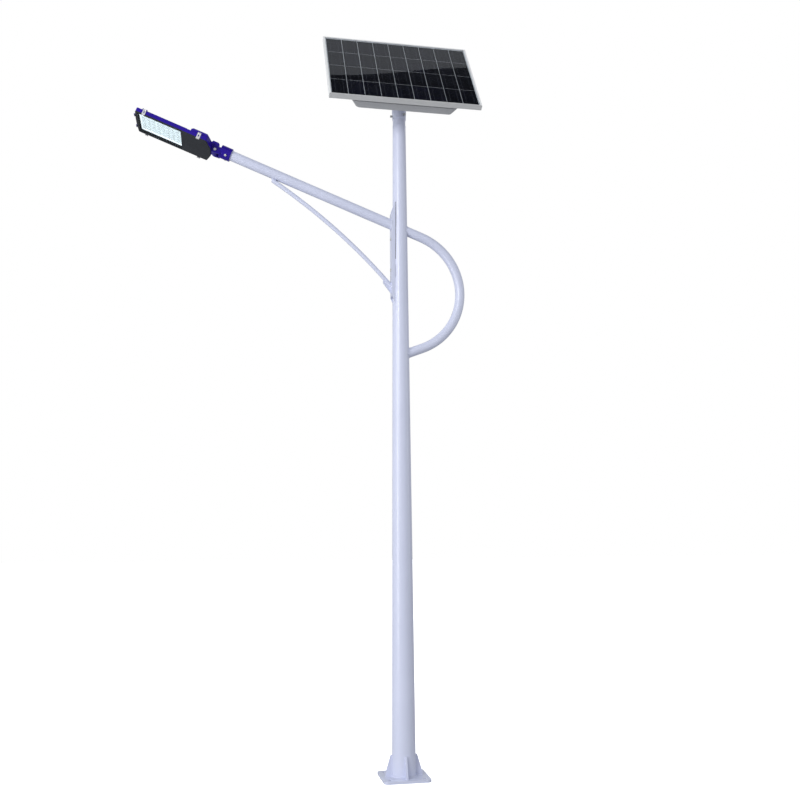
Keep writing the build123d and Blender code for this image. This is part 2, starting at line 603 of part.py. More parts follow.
def battery_pack():
    """Rows of cells in moulded holders, welded together by strips, with their board and the controller."""
    floor = BOX_BACK_Z + BOX_WALL + 6
    pitch, row_pitch = 2 * BATTERY_R + 3, BATTERY_L + 12
    axis_z = floor + BATTERY_R + 2
    centres = [BATTERY_X + column * pitch for column in range(BATTERY_COLUMNS)]
    holder_x = (centres[0] - BATTERY_R - 3, centres[-1] + BATTERY_R + 3)
    strip_x = (holder_x[0] + 8, holder_x[1] - 8)
    cells, holders, strips = [], [], []
    for row in range(BATTERY_ROWS):
        y = BATTERY_Y - row * row_pitch
        cells += [PANEL * rod_y(BATTERY_R, (y - BATTERY_L, y), x, axis_z) for x in centres]
        for strip_y in ((y, y + STRIP_T), (y - BATTERY_L - STRIP_T, y - BATTERY_L)):
            strips.append(PANEL * block(strip_x, strip_y, (axis_z - 6, axis_z + 6)))
        for top in (y - 10, y - 60):
            holder = block(holder_x, (top - 8, top), (floor, axis_z))
            for x in centres:
                holder -= rod_y(BATTERY_R + 0.05, (top - 9, top + 1), x, axis_z)
            holders.append(PANEL * holder)
    save("battery_cells", *cells)
    save("cell_holders", *holders)
    save("nickel_strips", *strips)
    board = block(BOARD_X, BOARD_Y, (floor, floor + 1.6))
    for x in BOARD_PART_X:
        board += block((x, x + 10), (10, 30), (floor + 1.6, floor + 6))
    save("protection_board", PANEL * board)
    length, width, height = CONTROLLER_SIZE
    case = Pos(CONTROLLER_X, 0, floor) * extrude(RectangleRounded(length, width, 6), height)
    terminal_x = (CONTROLLER_X - length / 2 + 10, CONTROLLER_X + length / 2 - 10)
    case += block(terminal_x, (-width / 2 - 12, -width / 2), (floor, floor + 16))
    for index in range(TERMINALS):
        case -= rod_z(3, (floor + 8, floor + 20), TERMINAL_X + TERMINAL_PITCH * index, -width / 2 - 7)
    save("charge_controller", PANEL * case)


# ---------------------------------------------------------------- lamp adapter
def lamp_adapter():
    start, end = SLEEVE_S
    sleeve = rod_x(SLEEVE_OUT_R, (start, end)) - rod_x(SLEEVE_IN_R, (start - 1, end - 5))
    sleeve -= rod_x(14, (start, end + 1))
    lobe = Pos(KNUCKLE_S, KNUCKLE_U) * Circle(KNUCKLE_LOBE_R) + Pos(end - 3, -11) * Rectangle(4, 44)
    ear = make_hull(lobe.edges()) - Pos(KNUCKLE_S, KNUCKLE_U) * Circle(PIVOT_R + 0.05)
    for side in (1, -1):
        low, high = sorted((side * EAR_W[0], side * EAR_W[1]))
        sleeve += Plane(origin=(0, high, 0), x_dir=(1, 0, 0), z_dir=(0, -1, 0)) * extrude(ear, high - low)
    bolts = []
    for turn in (-CLAMP_BOLT_TURN, CLAMP_BOLT_TURN):
        place = Pos(CLAMP_BOLT_S, 0, 0) * Rot(turn, 0, 0)
        sleeve -= place * rod_z(4.1, (28, 40))
        head = hexagon(13, (SLEEVE_OUT_R + 1, SLEEVE_OUT_R + 6))
        bolts.append(ARM * place * (rod_z(4, (ARM_R + 0.3, SLEEVE_OUT_R + 1)) + head))
    save("clamp_sleeve", ARM * sleeve)
    save("clamp_bolts", *bolts)
    across = Plane(origin=(KNUCKLE_S, 0, KNUCKLE_U), x_dir=(1, 0, 0), z_dir=(0, -1, 0))
    knuckle = bolt_set(PIVOT_R, 15, (-EAR_W[1], EAR_W[1]), EAR_W[1] + 10)
    save("knuckle_bolt_set", *[ARM * across * piece for piece in knuckle])


# ---------------------------------------------------------------- lamp head
def lamp_outline(inset):
    """The lamp head's plan: a narrow rear, slanted rear corners and a gently rounded tip."""
    half, tip = SHELL_HALF_W, SHELL_TIP_S - SHELL_TIP_BOW
    near = [(tip, half), (SHELL_CORNER_S, half), (SHELL_REAR_S, 46)]
    side = near + [(s, -w) for s, w in reversed(near)]
    face = make_face(Polyline(*side) + ThreePointArc((tip, -half), (SHELL_TIP_S, 0), (tip, half)))
    face = fillet(face.vertices(), 9)
    return offset(face, amount=-inset) if inset else face


def prism(face, u):
    return Pos(0, 0, u[0]) * extrude(face, u[1] - u[0])


def lug(s, w, u, side):
    """A small lug on the shell's side that holds one end of a latch pin."""
    return block((s - 2, s + 2), sorted((side * (SHELL_HALF_W - 12), side * w)), (u - 3.5, u + 3.5))


def hump(inset):
    """The driver compartment's raised cover: upright sides, then a 45 degree bevel all round its top."""
    half = SHELL_HALF_W - 4
    near = [(HUMP_END_S, half), (SHELL_CORNER_S + 3, half), (SHELL_REAR_S + 5, 52)]
    corners = near + [(s, -w) for s, w in reversed(near)]
    face = make_face(Polyline(*corners, close=True))
    face = fillet(face.vertices(), 14)
    face = offset(face, amount=-inset) if inset else face
    bevel_u = HUMP_TOP_U - HUMP_BEVEL
    upright = prism(face, (DECK_U - 3, bevel_u))
    return upright + Pos(0, 0, bevel_u) * extrude(face, HUMP_BEVEL - inset, taper=45)


def lamp_shell():
    shell = prism(lamp_outline(0), (SHELL_RIM_U, DECK_U))
    shell = fillet(shell.edges().group_by(Axis.Z)[-1], 3) + hump(0)
    for index in range(-FINS_PER_SIDE, FINS_PER_SIDE + 1):
        w = index * FIN_PITCH
        reach = 8 if abs(index) < FINS_PER_SIDE else 20
        fin = [(HUMP_END_S + 14, DECK_U), (HUMP_END_S + 22, FIN_TOP_U), (SHELL_TIP_S - 34, FIN_TOP_U),
               (SHELL_TIP_S - reach - 4, DECK_U)]
        blade = extrude(SIDE * make_face(Polyline(*fin, close=True)), 1.4, both=True)
        shell += Pos(0, w, 0) * blade
    shell += block((1184, 1200), (-36, 36), (SHELL_RIM_U, 20))
    tongue = [(1200, SHELL_RIM_U), (SHELL_REAR_S - 1, SHELL_RIM_U), (KNUCKLE_S, -35), (KNUCKLE_S - 12, -30),
              (1154, -1), (1154, TONGUE_TOP_U - 8), (1162, TONGUE_TOP_U), (1196, TONGUE_TOP_U), (1206, 9)]
    side_view = make_face(Polyline(*tongue, close=True)) + Pos(KNUCKLE_S, KNUCKLE_U) * Circle(KNUCKLE_LOBE_R)
    shell += extrude(SIDE * side_view, TONGUE_HALF_W, both=True)
    shell -= prism(lamp_outline(SHELL_WALL), (SHELL_RIM_U - 1, DECK_U - 2.5))
    shell -= hump(SHELL_WALL)
    pins = []
    for s, u, width in zip(LATCH_S, LATCH_TOP_U, LATCH_W):
        for side in (1, -1):
            for end in (-1, 1):
                shell += lug(s + end * (width / 2 + 2.5), PIN_W + 3, u, side)
            shell -= rod_x(PIN_R, (s - width / 2 - 5, s + width / 2 + 5), side * PIN_W, u)
            pins.append(ARM * rod_x(PIN_R, (s - width / 2 - 4.5, s + width / 2 + 4.5), side * PIN_W, u))
    for w in HINGE_W:
        for end in (-10, 10):
            knuckle = rod_y(3.4, (w + end - 4, w + end + 4), HINGE_S, HINGE_U)
            knuckle += block((HINGE_S - 16, HINGE_S), (w + end - 4, w + end + 4), (-30.5, -28.7))
            shell += knuckle
        shell -= rod_y(PIN_R, (w - 14, w + 14), HINGE_S, HINGE_U)
    shell -= rod_y(PIVOT_R + 0.05, (-40, 40), KNUCKLE_S, KNUCKLE_U)
    shell -= rod_x(9, (1140, 1220), 0, 6)
    save("lamp_shell", ARM * shell)
    pins += [ARM * rod_y(PIN_R, (w - 14, w + 14), HINGE_S, HINGE_U) for w in HINGE_W]
    save("lamp_pins", *pins)
    gasket = prism(lamp_outline(0.5), (COVER_U[1], SHELL_RIM_U)) - prism(lamp_outline(5.5), (-40, -20))
    save("shell_gasket", ARM * gasket)


def optics():
    middle = sum(WINDOW_S) / 2
    board = block((WINDOW_S[0] + 8, WINDOW_S[1] - 8), (-104, 104), (-12.1, DECK_U - 2.5))
    chips, lens = [], block((WINDOW_S[0] + 10, WINDOW_S[1] - 10), (-102, 102), (-16, -14.5))
    for row in range(LED_ROWS):
        for column in range(LED_COLUMNS):
            s = middle + (column - (LED_COLUMNS - 1) / 2) * LED_PITCH[0]
            w = (row - (LED_ROWS - 1) / 2) * LED_PITCH[1]
            chips.append(ARM * block((s - 2.5, s + 2.5), (w - 2.5, w + 2.5), (-13.6, -12.1)))
            lens += Pos(s, w, -16) * (Sphere(8) & block((-9, 9), (-9, 9), (-3.4, 0)))
    save("led_board", ARM * board)
    save("led_chips", *chips)
    save("lens_plate", ARM * lens)
    driver = Pos(1262, 0, -24) * extrude(RectangleRounded(84, 150, 6), 32)
    save("led_driver", ARM * driver)


def lamp_cover():
    plate = prism(lamp_outline(0), COVER_U)
    centre = Pos(sum(WINDOW_S) / 2, 0)
    size = (WINDOW_S[1] - WINDOW_S[0], 2 * WINDOW_HALF_W)
    outer = RectangleRounded(size[0] + 5, size[1] + 5, 8)
    plate += prism(centre * outer, (COVER_U[0], -20))
    plate -= prism(centre * RectangleRounded(*size, 6), (COVER_U[0] - 1, -23))
    plate -= prism(centre * RectangleRounded(size[0] - 8, size[1] - 8, 4), (-25, -19))
    plate = chamfer(plate.faces().sort_by(Axis.Z)[0].outer_wire().edges(), 1)
    for w in HINGE_W:
        span = (w - 5.5, w + 5.5)
        plate += rod_y(3.4, span, HINGE_S, HINGE_U)
        plate += block((HINGE_S - 12, HINGE_S), span, (COVER_U[0], COVER_U[1] - 0.8))
        plate -= rod_y(PIN_R + 0.05, (w - 6, w + 6), HINGE_S, HINGE_U)
    save("lower_cover", ARM * plate)
    glass = prism(centre * RectangleRounded(size[0] - 1, size[1] - 1, 5.5), (-26.5, -23.5))
    seal = prism(centre * RectangleRounded(*size, 6), (-28.5, -26.5))
    seal -= prism(centre * RectangleRounded(size[0] - 7, size[1] - 7, 4), (-30, -20))
    save("window_glass", ARM * glass)
    save("glass_seal", ARM * seal)


def latches():
    names = {1: "near", -1: "far"}
    for s, u, width, place in zip(LATCH_S, LATCH_TOP_U, LATCH_W, ("rear", "tip")):
        for side in (1, -1):
            eye = rod_x(3, (s - width / 2, s + width / 2), PIN_W, u)
            clip = eye + block((s - width / 2, s + width / 2), (PIN_W - 3, PIN_W - 1.2), (LATCH_FOOT_U, u))
            clip += rod_x(2, (s - width / 2, s + width / 2), PIN_W - 1, LATCH_FOOT_U)
            clip -= rod_x(PIN_R + 0.05, (s - width, s + width), PIN_W, u)
            slot = (s - LATCH_SLOT_W / 2, s + LATCH_SLOT_W / 2)
            clip -= block(slot, (PIN_W - 4, PIN_W), LATCH_SLOT_U)
            save(f"latch_{place}_{names[side]}", ARM * (clip if side > 0 else mirror(clip, Plane.XZ)))


base_flange()
flange_gussets()
pole_shaft()
top_spigot()
arm_bracket()
bracket_bolt_sets()
arm_tube()
loop_tube()
brace_rod()
lamp_cable()
collar()
tilt_yoke()
tilt_hardware()
holes = box_bracket()
frame_rails()
corner_keys()
laminate()
cross_rails()
junction_box()
battery_box(holes)
battery_pack()
lamp_adapter()
lamp_shell()
optics()
lamp_cover()
latches()
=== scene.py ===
import json
import math

import bmesh
import bpy
from mathutils import Matrix, Vector


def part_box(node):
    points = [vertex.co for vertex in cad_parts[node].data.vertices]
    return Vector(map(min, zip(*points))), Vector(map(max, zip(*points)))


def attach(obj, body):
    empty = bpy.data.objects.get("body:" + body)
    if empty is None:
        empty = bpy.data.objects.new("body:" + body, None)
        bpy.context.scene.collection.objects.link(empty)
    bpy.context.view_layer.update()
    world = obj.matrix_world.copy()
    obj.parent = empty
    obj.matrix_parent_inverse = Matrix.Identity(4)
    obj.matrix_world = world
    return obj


# The solar street lamp's looks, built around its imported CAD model. Metres, in the CAD frame.

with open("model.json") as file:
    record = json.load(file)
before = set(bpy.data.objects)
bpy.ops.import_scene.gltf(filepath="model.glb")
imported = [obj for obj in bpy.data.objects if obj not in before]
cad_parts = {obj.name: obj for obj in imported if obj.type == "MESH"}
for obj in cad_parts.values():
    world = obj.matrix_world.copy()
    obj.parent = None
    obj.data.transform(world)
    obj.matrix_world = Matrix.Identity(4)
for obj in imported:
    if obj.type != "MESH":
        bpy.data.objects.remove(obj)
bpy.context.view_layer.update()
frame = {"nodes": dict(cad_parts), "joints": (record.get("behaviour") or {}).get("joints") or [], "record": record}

# ---- the camera: where it stands, where it looks, and its lens on a 36 mm sensor
CAMERA_DISTANCE = 5.295
CAMERA_AZIMUTH = 10.974
CAMERA_HEIGHT = 1.279
CAMERA_YAW = 0.072
CAMERA_PITCH = 8.729
CAMERA_ROLL = -0.421
CAMERA_LENS = 41.453
SENSOR_WIDTH = 36
FAR_CLIP = 200

# ---- the surround and the floor
WHITE = (1, 1, 1, 1)
BLACK = (0, 0, 0, 1)
FILL_COLOUR = (0.94, 0.97, 1.0, 1)
FILL_STRENGTH = 0.57
FLOOR_COLOUR = (0.56, 0.56, 0.57, 1)
FLOOR_GLOW = 1.2
FLOOR_REACH = 60

# ---- the dark card over the panel: its height, its front edge and the edge's wave
CARD_HEIGHT = 7.0
CARD_EDGE = 0.174
CARD_WAVE = 0.105
CARD_MIDDLE = 0.55
CARD_SPREAD = 0.6
CARD_LEFT = -2.5
CARD_STEP = 0.1
CARD_POINTS = 61
CARD_REACH = 3.5

# ---- the arm: its own directions, from the joint that turns on it, and its tube as in the CAD
lamp_roll = next(joint for joint in frame["joints"] if joint["name"] == "lamp_roll")
UP = Vector((0, 0, 1))
ARM_ALONG = Vector(lamp_roll["axis"]).normalized()
ARM_ACROSS = Vector((0, -1, 0))
ARM_UP = ARM_ALONG.cross(ARM_ACROSS)
ARM_ANGLE = math.atan2(ARM_ALONG.z, -ARM_ALONG.x)
ARM_START = Vector((0, 0, 3.131))
ARM_R = 0.030

# ---- the panel: its place and cells as in the CAD, and the lines printed on each cell. A line's share
# ---- is of the pitch from one such line to the next
PANEL_TILT = math.radians(57)
PANEL_CENTRE = Vector((0, -0.070, 4.108))
CELL_FIELD = (0.880, 0.640)
CELL_COLUMNS = 9
CELL_ROWS = 4
FINGER_PITCH = 0.0016
FINGER_SHARE = 0.06
BUSBARS = 2
BUSBAR_HALF_SHARE = 0.013

# ---- the pole, gussets and bracket that the welds and the dark beads of painted shade follow, as in the CAD
FLANGE_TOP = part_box("base_flange")[1][2]
POLE_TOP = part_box("pole_shaft")[1][2]
POLE_FOOT_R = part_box("pole_shaft")[1][0]
SPIGOT_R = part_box("top_spigot")[1][0]
POLE_HEAD_R = SPIGOT_R + 0.001
GUSSET_HALF_T = 0.004
GUSSET_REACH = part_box("flange_gussets")[1][0]
GUSSET_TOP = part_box("flange_gussets")[1][2]
WEB_X = -0.055
CHEEK_Y = 0.031

# ---- the loop: its arc's radius and middle, its tube, and where its legs' lines end in the pole
LOOP_R = 0.363
LOOP_MIDDLE_Z = ARM_START.z - LOOP_R / math.cos(ARM_ANGLE)
LOOP_TUBE_R = 0.028
LOOP_LEG_END_X = 0.020

# ---- the brace: its tube, its ends, its bow, and how far along the arm its crotch is
BRACE_R = 0.0125
BRACE_HEAD = Vector((-0.860, 0, 3.442))
BRACE_FOOT = Vector((-0.040, 0, 2.754))
BRACE_BOW = 0.043
BRACE_CROTCH_S = 0.789

# ---- beads of weld, and dark beads of painted shade: their radii, the step between their rings, and their ripple
BEAD_R = {"foot": 0.0042, "gusset": 0.0030, "loop": 0.0030, "arm": 0.0034, "brace": 0.0026,
          "crotch": 0.0030, "head": 0.0024, "cheek_shade": 0.0013, "crotch_shade": 0.0055}
BEAD_STEP = 0.0010
BEAD_RIPPLE = 4
BEAD_SWELL = 0.07
BEAD_SIDES = 8
END_STEPS = 0.4

# ---- where the beads start and how far they stand out. A meeting line is longer than its tube is round
FOOT_BEAD_LIFT = 0.001
GUSSET_BEAD_LIFT = 0.0006
GUSSET_BEAD_START = 0.004
ARM_ROOT_S = 0.16
BRACE_FOOT_S = 0.08
# ---- the dark seam beads, painted shade between the bracket's cheeks and the pole, run between these heights
SHADE_BEAD_Z = (2.93, 3.285)
SHADE_BEAD_LIFT = 0.0004
MEETING_STRETCH = 1.2
HALVINGS = 20

# ---- beads at the brace's crotch: from it along the arm, across, and up from the arm's underside
CROTCH_BEAD = ((-0.004, 0.003, -0.0015), (0.020, 0.0105, 0.0015))
# ---- the dark bead in the brace's crotch is painted shade: from it along the arm, half across, and up
CROTCH_SHADE_BEAD = (-0.012, 0.008, -0.002)

# ---- the lamp's window as in the CAD, and the inner and outer edges of the tray round its light: how
# ---- far in from the window's ends and sides, how high over the arm's line, and the corners' radius
WINDOW_S = (1.365, 1.624)
WINDOW_HALF_W = 0.118
TRAY_EDGES = ((0.009, 0.015, -0.0123, 0.006), (0.0015, 0.002, -0.0196, 0.008))
TRAY_T = 0.001
CORNER_STEPS = 6

# ---- the places of the Mix node's sockets when it mixes colours
MIX_FACTOR, MIX_A, MIX_B, MIX_RESULT = 0, 6, 7, 2


# ------------------------------------------------------------------ node trees
def feed(tree, socket, value):
    """Links another node's socket to this one, or sets this one to a constant."""
    if isinstance(value, bpy.types.NodeSocket):
        tree.links.new(value, socket)
    else:
        socket.default_value = value


def add_node(tree, kind, **inputs):
    """Adds a shader node. Its inputs are given by name, or by place as i0, i1 and so on."""
    added = tree.nodes.new("ShaderNode" + kind)
    for socket, value in inputs.items():
        by_place = socket[0] == "i" and socket[1:].isdigit()
        feed(tree, added.inputs[int(socket[1:]) if by_place else socket], value)
    return added


# ------------------------------------------------------------------ camera, floor and lights
def make_camera():
    camera = bpy.data.objects.new("camera", bpy.data.cameras.new("camera"))
    bpy.context.scene.collection.objects.link(camera)
    azimuth = math.radians(CAMERA_AZIMUTH)
    place = Vector((-math.sin(azimuth), -math.cos(azimuth), 0)) * CAMERA_DISTANCE
    place.z = CAMERA_HEIGHT
    turn = Matrix.Rotation(math.radians(CAMERA_YAW) - azimuth, 4, "Z")
    lift = Matrix.Rotation(math.radians(90 + CAMERA_PITCH), 4, "X")
    roll = Matrix.Rotation(math.radians(CAMERA_ROLL), 4, "Z")
    camera.matrix_world = Matrix.Translation(place) @ turn @ lift @ roll
    camera.data.lens = CAMERA_LENS
    camera.data.sensor_width = SENSOR_WIDTH
    camera.data.clip_end = FAR_CLIP
    bpy.context.scene.camera = camera


def area_light(name, azimuth, distance, height, size, power, aim_z):
    """A soft box that stands at an azimuth from the front (positive to the left) and faces the pole."""
    data = bpy.data.lights.new(name, "AREA")
    data.shape = "RECTANGLE"
    data.size, data.size_y = size
    data.energy = power
    light = bpy.data.objects.new(name, data)
    bpy.context.scene.collection.objects.link(light)
    turn = math.radians(azimuth)
    light.location = (-math.sin(turn) * distance, -math.cos(turn) * distance, height)
    facing = Vector((0, 0, aim_z)) - light.location
    light.rotation_euler = facing.to_track_quat("-Z", "Y").to_euler()


def surround():
    """White to the camera, and a dimmer, slightly blue fill to everything else."""
    world = bpy.data.worlds.new("studio")
    bpy.context.scene.world = world
    world.use_nodes = True
    tree = world.node_tree
    tree.nodes.clear()
    seen = add_node(tree, "Background", Color=WHITE)
    fill = add_node(tree, "Background", Color=FILL_COLOUR, Strength=FILL_STRENGTH)
    by_camera = add_node(tree, "LightPath").outputs["Is Camera Ray"]
    mix = add_node(tree, "MixShader", i0=by_camera, i1=fill.outputs[0], i2=seen.outputs[0])
    add_node(tree, "OutputWorld", Surface=mix.outputs[0])


def floor_paint():
    """Pale matt paint that glows to the camera alone, so that the floor looks white."""
    material = bpy.data.materials.new("floor_paint")
    material.use_nodes = True
    tree = material.node_tree
    tree.nodes.clear()
    matt = add_node(tree, "BsdfDiffuse", Color=FLOOR_COLOUR)
    glow = add_node(tree, "Emission", Strength=FLOOR_GLOW)
    off = add_node(tree, "BsdfTransparent", Color=BLACK)
    by_camera = add_node(tree, "LightPath").outputs["Is Camera Ray"]
    pick = add_node(tree, "MixShader", i0=by_camera, i1=off.outputs[0], i2=glow.outputs[0])
    both = add_node(tree, "AddShader", i0=matt.outputs[0], i1=pick.outputs[0])
    add_node(tree, "OutputMaterial", Surface=both.outputs[0])
    return material


def pale_floor():
    mesh = bpy.data.meshes.new("floor")
    corners = [(x * FLOOR_REACH, y * FLOOR_REACH, 0) for x, y in ((-1, -1), (1, -1), (1, 1), (-1, 1))]
    mesh.from_pydata(corners, [], [(0, 1, 2, 3)])
    mesh.materials.append(floor_paint())
    floor = bpy.data.objects.new("floor", mesh)
    bpy.context.scene.collection.objects.link(floor)


def dark_card():
    """A black card overhead with a wavy front edge, seen only in reflections."""
    xs = [CARD_LEFT + CARD_STEP * index for index in range(CARD_POINTS)]
    outline = [(x, CARD_EDGE + CARD_WAVE * math.tanh((x - CARD_MIDDLE) / CARD_SPREAD), CARD_HEIGHT)
               for x in xs]
    outline += [(xs[-1], -CARD_REACH, CARD_HEIGHT), (xs[0], -CARD_REACH, CARD_HEIGHT)]
    mesh = bpy.data.meshes.new("dark_card")
    mesh.from_pydata(outline, [], [tuple(range(len(outline)))])
    black = bpy.data.materials.new("black_card")
    black.use_nodes = True
    black.node_tree.nodes.clear()
    matt = add_node(black.node_tree, "BsdfDiffuse", Color=BLACK)
    add_node(black.node_tree, "OutputMaterial", Surface=matt.outputs[0])
    mesh.materials.append(black)
    card = bpy.data.objects.new("dark_card", mesh)
    bpy.context.scene.collection.objects.link(card)
    card.visible_camera = False
    card.visible_diffuse = False
    card.visible_shadow = False
    card.visible_transmission = False


def studio():
    """A pale floor, a white surround, and soft boxes high in front, at the left and at the right."""
    bpy.context.scene.view_settings.view_transform = "Standard"
    surround()
    area_light("key_front", azimuth=40, distance=14.0, height=7.4, size=(3.6, 3.6), power=650, aim_z=3.0)
    area_light("side_left", azimuth=62, distance=6.4, height=2.0, size=(1.4, 5.0), power=165, aim_z=2.0)
    area_light("fill_right", azimuth=-75, distance=6.0, height=3.2, size=(2.0, 5.0), power=42, aim_z=2.4)
    dark_card()
    pale_floor()


# ------------------------------------------------------------------ materials
class Finish:
    """One node material: a Principled shader and the textures that drive it, in metres."""

    def __init__(self, name, colour, roughness, metallic=0.0, **constants):
        self.material = bpy.data.materials.new(name)
        self.material.use_nodes = True
        self.tree = self.material.node_tree
        self.shader = self.tree.nodes["Principled BSDF"]
        self.shader.inputs["Base Color"].default_value = (*colour, 1)
        self.shader.inputs["Roughness"].default_value = roughness
        self.shader.inputs["Metallic"].default_value = metallic
        for words, value in constants.items():
            socket = words.replace("_", " ").title().replace("Ior", "IOR")
            self.shader.inputs[socket].default_value = value
        self.place = self.node("TexCoord").outputs["Object"]

    def node(self, kind, **inputs):
        return add_node(self.tree, kind, **inputs)

    def turned(self, angle, axis=(0, 1, 0), centre=(0, 0, 0)):
        """The coordinates turned about an axis, for grain that follows a slanted piece."""
        turn = self.node("VectorRotate", Vector=self.place, Center=centre, Axis=axis, Angle=angle)
        return turn.outputs[0]

    def stretched(self, scale, vector=None):
        """The coordinates times a scale in each direction, for streaks and brushed grain."""
        move = self.node("Mapping", Vector=vector or self.place, Scale=scale)
        return move.outputs[0]

    def noise(self, scale, detail=3.0, roughness=0.5, vector=None):
        place = vector or self.place
        texture = self.node("TexNoise", Vector=place, Scale=scale, Detail=detail, Roughness=roughness)
        return texture.outputs["Fac"]

    def cells(self, scale):
        return self.node("TexVoronoi", Vector=self.place, Scale=scale).outputs["Distance"]

    def span(self, value, low, high, to_low=0.0, to_high=1.0):
        """Maps what lies between low and high to a new range, and keeps it within that."""
        change = self.node("MapRange", i0=value, i1=low, i2=high, i3=to_low, i4=to_high)
        return change.outputs[0]

    def maths(self, kind, a, b=0.0):
        result = self.tree.nodes.new("ShaderNodeMath")
        result.operation = kind
        feed(self.tree, result.inputs[0], a)
        feed(self.tree, result.inputs[1], b)
        return result.outputs[0]

    def blend(self, factor, a, b):
        """Mixes two colours. Each is a plain colour or another node's socket."""
        mix = self.tree.nodes.new("ShaderNodeMix")
        mix.data_type = "RGBA"
        feed(self.tree, mix.inputs[MIX_FACTOR], factor)
        for place, colour in ((MIX_A, a), (MIX_B, b)):
            plain = not isinstance(colour, bpy.types.NodeSocket)
            feed(self.tree, mix.inputs[place], (*colour, 1) if plain else colour)
        return mix.outputs[MIX_RESULT]

    def drive(self, socket, value):
        self.tree.links.new(value, self.shader.inputs[socket])

    def bump(self, height, distance, strength):
        """Adds a bump on top of those already there."""
        bump = self.node("Bump", Height=height, Distance=distance, Strength=strength)
        previous = self.shader.inputs["Normal"].links
        if previous:
            self.tree.links.new(previous[0].from_socket, bump.inputs["Normal"])
        self.tree.links.new(bump.outputs[0], self.shader.inputs["Normal"])


def darker(colour, share):
    return tuple(channel * share for channel in colour)


def powder_coat(name, colour, shade, roughness, grime, **constants):
    """Baked powder coat: an orange-peel skin, faint colour drift and streaks of grime."""
    coat = Finish(name, colour, roughness, **constants)
    drift = coat.span(coat.noise(3.0, detail=4.0), 0.35, 0.7)
    streaks = coat.noise(1.0, detail=6.0, roughness=0.65, vector=coat.stretched((28, 28, 1.6)))
    dirt = coat.span(streaks, 0.58, 0.78, 0.0, grime)
    coat.drive("Base Color", coat.blend(dirt, coat.blend(drift, colour, shade), darker(colour, 0.62)))
    spots = coat.noise(55.0)
    coat.drive("Roughness", coat.span(spots, 0.3, 0.75, roughness - 0.05, roughness + 0.08))
    coat.bump(coat.noise(420.0, detail=2.0), distance=0.0002, strength=0.35)
    coat.bump(coat.noise(36.0, detail=2.0), distance=0.0008, strength=0.12)
    return coat.material


def plated_steel():
    """Zinc-plated fasteners and brackets: cloudy, fine-grained and slightly warm."""
    plate = Finish("zinc_plate", (0.66, 0.66, 0.64), 0.34, metallic=1.0)
    cloud = plate.span(plate.noise(180.0, detail=4.0), 0.3, 0.72)
    plate.drive("Base Color", plate.blend(cloud, (0.74, 0.74, 0.73), (0.55, 0.55, 0.52)))
    plate.drive("Roughness", plate.span(plate.noise(600.0), 0.3, 0.7, 0.26, 0.46))
    plate.bump(plate.noise(2200.0, detail=2.0), distance=0.00006, strength=0.5)
    return plate.material


def anodised(name, bright):
    """Clear anodised extrusion with die lines along X and dull patches."""
    metal = Finish(name, (bright, bright, bright), 0.5, metallic=0.1)
    drawn = metal.stretched((3, 900, 900))
    lines = metal.noise(1.0, detail=4.0, roughness=0.6, vector=drawn)
    metal.drive("Roughness", metal.span(lines, 0.3, 0.7, 0.36, 0.5))
    light = (bright, bright * 1.005, bright * 1.01)
    dark = (bright * 0.92, bright * 0.925, bright * 0.93)
    tone = metal.blend(metal.span(lines, 0.2, 0.8), light, dark)
    patches = metal.span(metal.noise(9.0, detail=5.0, roughness=0.6), 0.5, 0.75, 0.0, 0.25)
    metal.drive("Base Color", metal.blend(patches, tone, darker(dark, 0.85)))
    metal.bump(lines, distance=0.00005, strength=0.4)
    return metal.material


def stainless():
    """Stainless sheet, brushed along the arm."""
    metal = Finish("stainless", (0.9, 0.9, 0.9), 0.3, metallic=0.9)
    brushed = metal.stretched((60, 2000, 2000), metal.turned(-ARM_ANGLE))
    grain = metal.noise(1.0, detail=4.0, roughness=0.6, vector=brushed)
    metal.drive("Roughness", metal.span(grain, 0.3, 0.7, 0.24, 0.42))
    tone = metal.blend(metal.span(grain, 0.25, 0.8), (0.95, 0.95, 0.95), (0.82, 0.82, 0.83))
    metal.drive("Base Color", tone)
    metal.bump(grain, distance=0.00004, strength=0.4)
    return metal.material


def cover_glass(name, tint, haze, roughness):
    """A clear sheet with its reflection, and a thin veil of dust on the face that looks out."""
    glass = Finish(name, tint, roughness)
    clear = glass.node("BsdfTransparent", Color=(*tint, 1))
    dust = glass.span(glass.noise(14.0, detail=6.0, roughness=0.65), 0.35, 0.8, haze * 0.4, haze)
    smear = glass.span(glass.noise(90.0, detail=4.0), 0.3, 0.7, roughness, roughness * 1.6)
    gloss = glass.node("BsdfGlossy", Color=(0.74, 0.75, 0.78, 1), Roughness=smear)
    veil = glass.node("BsdfDiffuse", Color=(0.75, 0.76, 0.78, 1))
    outward = glass.maths("SUBTRACT", 1.0, glass.node("NewGeometry").outputs["Backfacing"])
    mirrored = glass.maths("MULTIPLY", glass.node("Fresnel", IOR=1.5).outputs[0], outward)
    dusted = glass.maths("MULTIPLY", dust, outward)
    dusty = glass.node("MixShader", i0=dusted, i1=clear.outputs[0], i2=veil.outputs[0])
    sheet = glass.node("MixShader", i0=mirrored, i1=dusty.outputs[0], i2=gloss.outputs[0])
    glass.tree.links.new(sheet.outputs[0], glass.tree.nodes["Material Output"].inputs["Surface"])
    glass.tree.nodes.remove(glass.shader)
    return glass.material


